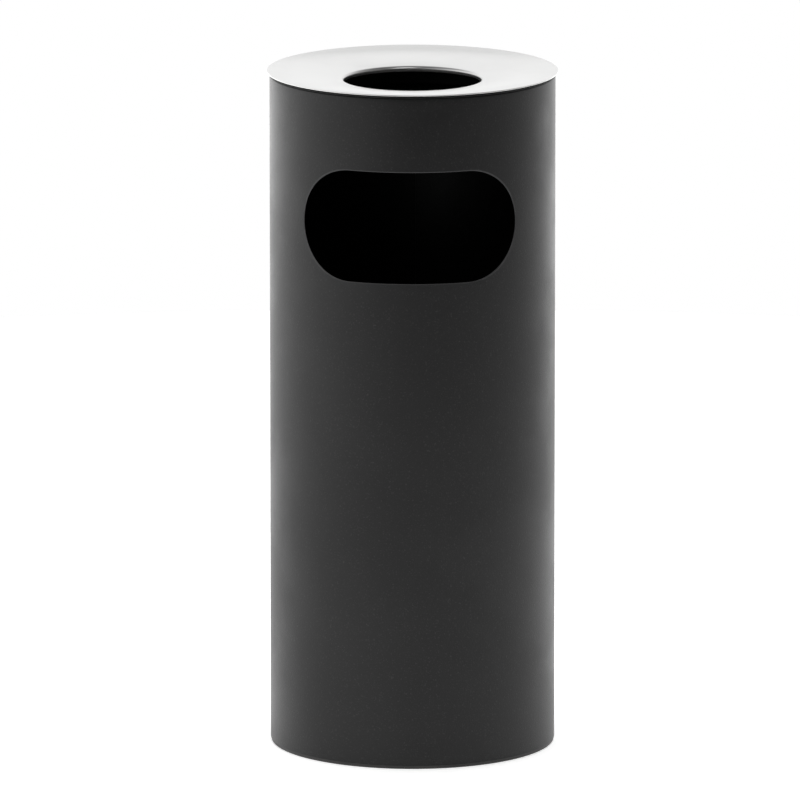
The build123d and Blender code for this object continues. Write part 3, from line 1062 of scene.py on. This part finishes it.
def bail_handle():
    """The wire is drawn in from one ear, bent, swept round the liner's mouth, bent and led out again."""
    height = (bail_low.z + bail_high.z) / 2
    tip = liner_inner - 2.05 * mm - 4.0 * mm
    bend_out = bail_radius - bail_corner
    bend_x = (bend_out**2 - bail_corner**2) ** 0.5
    lean = atan2(bail_corner, bend_x)
    bpy.ops.object.select_all(action="DESELECT")
    bpy.ops.mesh.primitive_circle_add(
        vertices=24, radius=bail_wire, location=(tip, 0, height), rotation=(0, radians(90), 0)
    )
    bail = bpy.context.object
    bail.name = "bail_wire"
    bpy.ops.object.transform_apply(location=True, rotation=True, scale=True)
    begin_edit()
    bpy.ops.mesh.select_all(action="SELECT")
    bpy.ops.mesh.extrude_edges_move(TRANSFORM_OT_translate={"value": (bend_x - tip, 0, 0)})
    corner_turn, round_turn = pi / 2 + lean, pi - 2 * lean
    for steps, turn, centre in (
        (10, corner_turn, (bend_x, bail_corner, height)),
        (128, round_turn, (0, 0, height)),
        (10, corner_turn, (-bend_x, bail_corner, height)),
    ):
        bpy.ops.mesh.spin(steps=steps, angle=spin_way * turn, center=centre, axis=(0, 0, 1))
    bpy.ops.mesh.extrude_edges_move(TRANSFORM_OT_translate={"value": (bend_x - tip, 0, 0)})
    for side in (-1, 1):
        bpy.ops.mesh.primitive_cylinder_add(
            vertices=32,
            radius=bail_head_radius,
            depth=bail_head_length,
            location=(side * (tip + bail_head_length / 2), 0, height),
            rotation=(0, radians(90), 0),
        )
    bpy.ops.mesh.select_all(action="SELECT")
    bpy.ops.mesh.remove_doubles(threshold=0.01 * mm)
    pick_edges(bail, lambda edge: edge.is_boundary)
    bpy.ops.mesh.edge_face_add()
    bpy.ops.mesh.select_all(action="SELECT")
    bpy.ops.mesh.normals_make_consistent(inside=False)
    end_edit()
    ease_edges(bail, 0.3 * mm, where=lambda middle: abs(middle.x) < tip + 3 * mm and abs(middle.y) < 5 * mm)
    smooth(bail)
    return fit(bail, "bail", "galvanised_wire", wire, "bail_handle")


# ---------------------------------------------------------------- ash pan, grid and knob
def ash_pan():
    section = rounded(
        [
            (flat_centre, pan_low.z),
            (pan_well - pan_well_taper, pan_low.z),
            (pan_well, grid_low.z - pan_sheet),
            (pan_ledge, grid_low.z - pan_sheet),
            (pan_mouth, pan_rim),
            (pan_high.x, pan_rim),
        ],
        [9.0 * mm, 2.5 * mm, 4.0 * mm, 2.5 * mm],
    )
    pan = turned("ash_pan_pressing", section, round_segments, filled=True)
    thicken(pan, pan_sheet, "left")
    ease_edges(pan, pressed_edge)
    smooth(pan)
    return fit(pan, "pan", "pan_coat", inner_coat, "ash_pan")


def stub_grid():
    """A flat disc in bands that run between the rings of holes, then punched."""
    bottom, top = grid_low.z + 0.02 * mm, grid_high.z
    bands = [8 * mm]
    bands += [grid_first_ring + (ring - 0.5) * grid_pitch for ring in range(grid_rings + 1)]
    bands.append(grid_high.x)
    section = [(band, bottom) for band in bands] + [(band, top) for band in reversed(bands)]
    plate = turned("stub_grid_plate", section, inner_segments, filled=True, capped=True)
    bpy.ops.object.select_all(action="DESELECT")
    bpy.ops.mesh.primitive_cylinder_add(vertices=24, radius=2.2 * mm, depth=8 * mm, location=(0, 0, top))
    punches = bpy.context.object
    bpy.ops.object.transform_apply(location=True, rotation=True, scale=True)
    begin_edit()
    for ring in range(grid_rings):
        radius = grid_first_ring + ring * grid_pitch
        holes = int(2 * pi * radius // grid_pitch)
        for hole in range(holes):
            angle = 2 * pi * hole / holes
            bpy.ops.mesh.primitive_cylinder_add(
                vertices=32,
                radius=grid_hole_radius,
                depth=8 * mm,
                location=(radius * cos(angle), radius * sin(angle), top),
            )
    end_edit()
    cut_away(plate, punches)
    ease_edges(plate, pressed_edge)
    smooth(plate)
    return fit(plate, "grid", "pan_coat", inner_coat, "stub_grid")


def grid_knob():
    radius, stem = knob_high.x, 5.0 * mm
    shoulder = knob_low.z + 4.0 * mm
    section = [
        (3 * mm, knob_low.z),
        *rounded(
            [
                (stem, knob_low.z),
                (stem, shoulder),
                (radius, shoulder),
                (radius, knob_high.z),
                (4 * mm, knob_high.z),
            ],
            [0.8 * mm, 0.6 * mm, 3.0 * mm],
        ),
    ]
    knob = turned("knob", section, 96, filled=True, capped=True)
    smooth(knob)
    return fit(knob, "grid", "knob_plastic", knob_plastic, "grid_knob")


def knob_screw():
    head, shank = screw_high.x, 2.0 * mm
    seat = grid_low.z
    section = rounded(
        [
            (1.2 * mm, screw_low.z),
            (head, screw_low.z),
            (head, seat),
            (shank, seat),
            (shank, screw_high.z),
            (1.0 * mm, screw_high.z),
        ],
        [0.7 * mm, 0.1 * mm, 0.1 * mm, 0.4 * mm],
    )
    screw = turned("knob_screw", section, 48, filled=True, capped=True)
    bpy.ops.object.select_all(action="DESELECT")
    bpy.ops.mesh.primitive_cube_add(size=1, location=(0, 0, screw_low.z), scale=(9 * mm, 1.0 * mm, 1.6 * mm))
    blade = bpy.context.object
    bpy.ops.object.transform_apply(location=True, rotation=True, scale=True)
    cut_away(screw, blade)
    smooth(screw)
    return fit(screw, "grid", "rivet_steel", fixing, "grid_knob_screw")


make_camera()
studio_world()
studio_floor()
area_light("floor_box", (0, 0.4, 3.2), (0, 0.4, 0), 3.4, 3.4, 100, in_gloss=False)
area_light("front_box", (0.55, -1.6, 2.2), (0, 0, 0.55), 1.3, 0.9, 7)
bpy.context.scene.view_settings.view_transform = "Standard"

drum_shell()
base_plate()
foot_ring()
liner_wall()
liner_bottom()
rim_wire()
ear_rivets()
bail_handle()
ash_pan()
stub_grid()
grid_knob()
knob_screw()
lid_dish()

for node, material in (
    ("bail_ear_left", zinc),
    ("bail_ear_right", zinc),
    ("lid_tab_1", steel),
    ("lid_tab_2", steel),
    ("lid_tab_3", steel),
):
    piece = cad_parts[node]
    piece.data.materials.clear()
    piece.data.materials.append(material)
